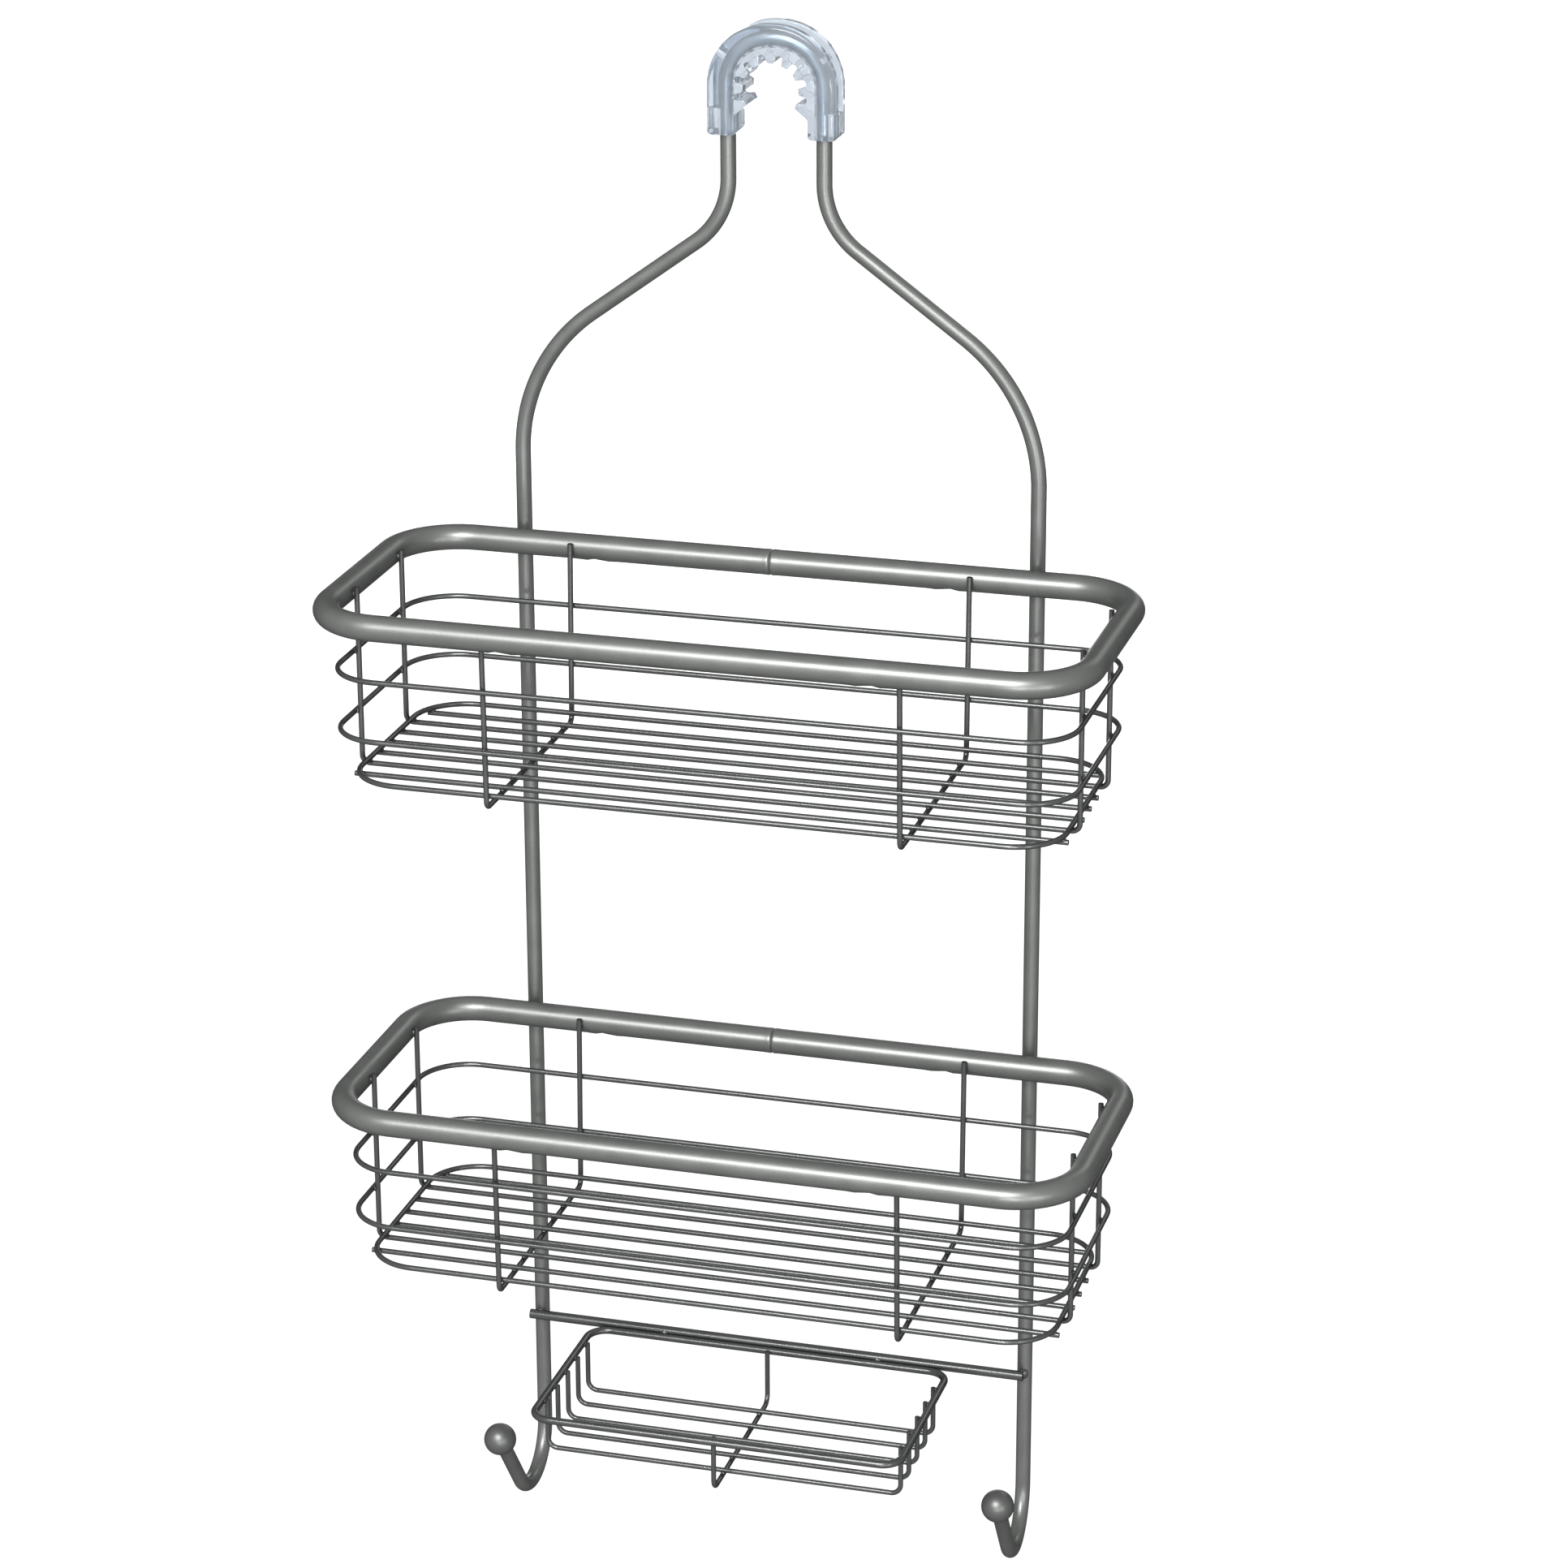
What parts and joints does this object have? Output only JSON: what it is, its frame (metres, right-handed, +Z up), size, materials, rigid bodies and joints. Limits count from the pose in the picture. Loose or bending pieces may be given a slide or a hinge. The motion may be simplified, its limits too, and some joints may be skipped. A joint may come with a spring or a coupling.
{
  "type": "hanging shower caddy",
  "caption": "Hanging wire shower caddy: bent rod frame with a clear grip hook, tube-rimmed baskets, a wire soap dish and ball-ended hooks.",
  "frame": {"origin": "on the axis of the shower arm, at the middle of the hook's grip", "axes": "+Z up, +Y back along the shower arm towards the wall, +X to the right seen from the front; baskets stand out towards -Y"},
  "size_m": [0.3, 0.137, 0.6119],
  "materials": {
    "rod_paint": "satin grey metallic powder coat",
    "rim_paint": "satin grey metallic powder coat",
    "wire_paint": "satin grey metallic powder coat",
    "ball_paint": "satin grey metallic powder coat",
    "grip_vinyl": "clear soft vinyl with a faint blue tint"
  },
  "bodies": {
    "root": {"crossbar": "wire_paint", "dish_rib": "wire_paint", "dish_rim": "rim_paint", "dish_wire_1": "wire_paint", "dish_wire_2": "wire_paint", "dish_wire_3": "wire_paint", "dish_wire_4": "wire_paint", "dish_wire_5": "wire_paint", "hook_ball_left": "ball_paint", "hook_ball_right": "ball_paint", "hook_grip": "grip_vinyl", "lower_cross_rib_left": "wire_paint", "lower_cross_rib_right": "wire_paint", "lower_floor_ring": "wire_paint", "lower_floor_wire_1": "wire_paint", "lower_floor_wire_2": "wire_paint", "lower_floor_wire_3": "wire_paint", "lower_floor_wire_4": "wire_paint", "lower_floor_wire_5": "wire_paint", "lower_long_rib_front": "wire_paint", "lower_long_rib_rear": "wire_paint", "lower_lower_ring": "wire_paint", "lower_rim": "rim_paint", "lower_upper_ring": "wire_paint", "rod_foot_left": "rod_paint", "rod_foot_right": "rod_paint", "rod_hook": "rod_paint", "rod_shoulder_left": "rod_paint", "rod_shoulder_right": "rod_paint", "rod_upright_left": "rod_paint", "rod_upright_right": "rod_paint", "upper_cross_rib_left": "wire_paint", "upper_cross_rib_right": "wire_paint", "upper_floor_ring": "wire_paint", "upper_floor_wire_1": "wire_paint", "upper_floor_wire_2": "wire_paint", "upper_floor_wire_3": "wire_paint", "upper_floor_wire_4": "wire_paint", "upper_floor_wire_5": "wire_paint", "upper_long_rib_front": "wire_paint", "upper_long_rib_rear": "wire_paint", "upper_lower_ring": "wire_paint", "upper_rim": "rim_paint", "upper_upper_ring": "wire_paint"}
  },
  "joints": []
}
